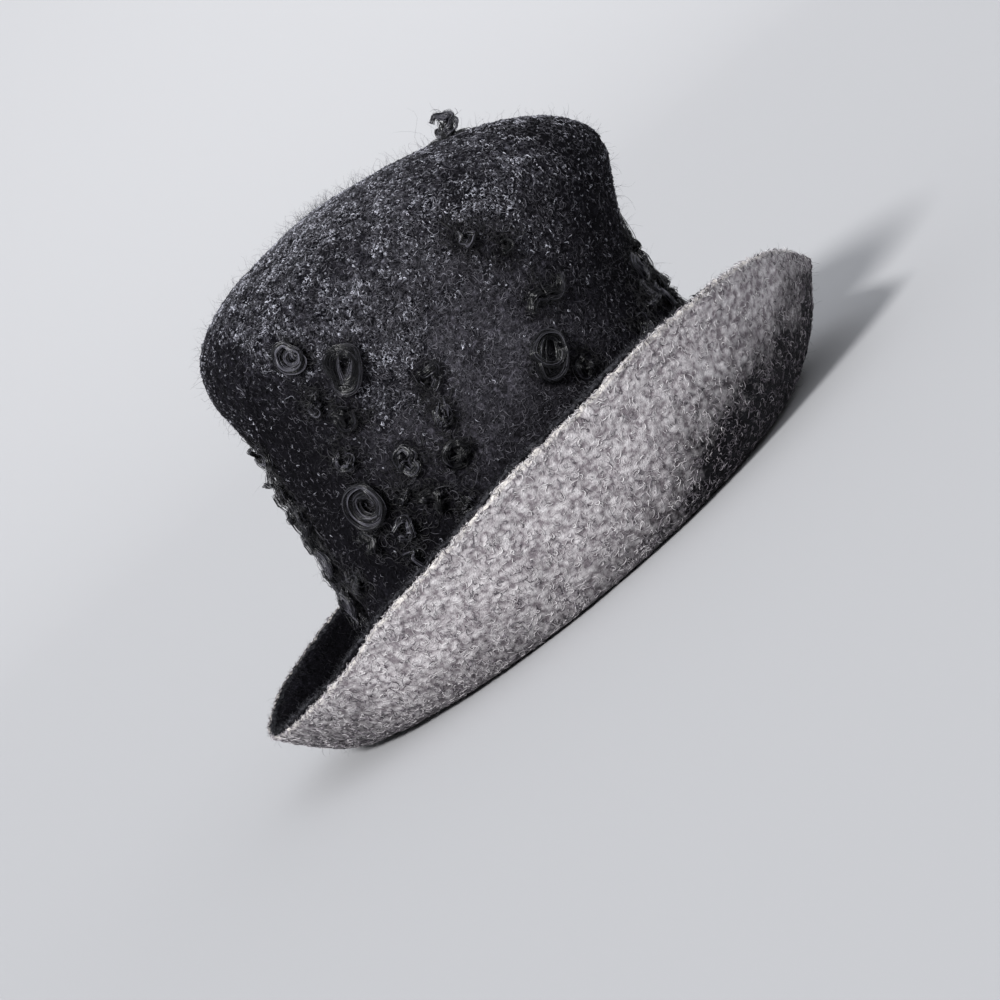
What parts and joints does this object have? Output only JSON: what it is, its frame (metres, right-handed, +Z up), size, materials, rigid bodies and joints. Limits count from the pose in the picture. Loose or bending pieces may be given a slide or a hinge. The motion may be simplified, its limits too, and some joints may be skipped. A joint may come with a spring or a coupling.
{
  "type": "top hat",
  "caption": "Soft hand-felted top hat with a tall crown, a wide turned-up two-tone brim and curled wool locks on the crown.",
  "frame": {"origin": "centre of the hat's plan outline, at the level of the ring under the brim's roll that it rests on", "axes": "+Z up through the crown, -X to the front of the hat, -Y to the wearer's left, where the brim is turned up highest"},
  "size_m": [0.3466, 0.263, 0.2095],
  "materials": {
    "dark_felt": "matte nubby wet-felted wool with silk flecks",
    "pale_felt": "matte pebbly wool felt, grey-mauve",
    "wool_lock": "curly wool, slight sheen",
    "ribbon": "ribbed grosgrain"
  },
  "bodies": {
    "root": {"crown_outer_felt": "dark_felt", "crown_inner_felt": "pale_felt", "brim_upper_felt": "dark_felt", "brim_under_felt": "pale_felt", "sweatband": "ribbon", "left_lock_01": "wool_lock", "left_lock_02": "wool_lock", "left_lock_03": "wool_lock", "left_lock_04": "wool_lock", "left_lock_05": "wool_lock", "left_lock_06": "wool_lock", "left_lock_07": "wool_lock", "left_lock_08": "wool_lock", "left_lock_09": "wool_lock", "left_lock_10": "wool_lock", "left_lock_11": "wool_lock", "left_lock_12": "wool_lock", "left_lock_13": "wool_lock", "left_lock_14": "wool_lock", "left_lock_15": "wool_lock", "left_lock_16": "wool_lock", "left_lock_17": "wool_lock", "left_lock_18": "wool_lock", "left_lock_19": "wool_lock", "left_lock_20": "wool_lock", "left_lock_21": "wool_lock", "back_lock_01": "wool_lock", "back_lock_02": "wool_lock", "back_lock_03": "wool_lock", "back_lock_04": "wool_lock", "back_lock_05": "wool_lock", "back_lock_06": "wool_lock", "back_lock_07": "wool_lock", "back_lock_08": "wool_lock", "back_lock_09": "wool_lock", "right_lock_01": "wool_lock", "right_lock_02": "wool_lock", "right_lock_03": "wool_lock", "right_lock_04": "wool_lock", "right_lock_05": "wool_lock", "right_lock_06": "wool_lock", "right_lock_07": "wool_lock", "right_lock_08": "wool_lock", "front_lock_01": "wool_lock", "front_lock_02": "wool_lock", "front_lock_03": "wool_lock", "front_lock_04": "wool_lock", "front_lock_05": "wool_lock", "front_lock_06": "wool_lock", "front_lock_07": "wool_lock", "front_lock_08": "wool_lock", "front_lock_09": "wool_lock", "crown_tuft": "wool_lock"}
  },
  "joints": []
}
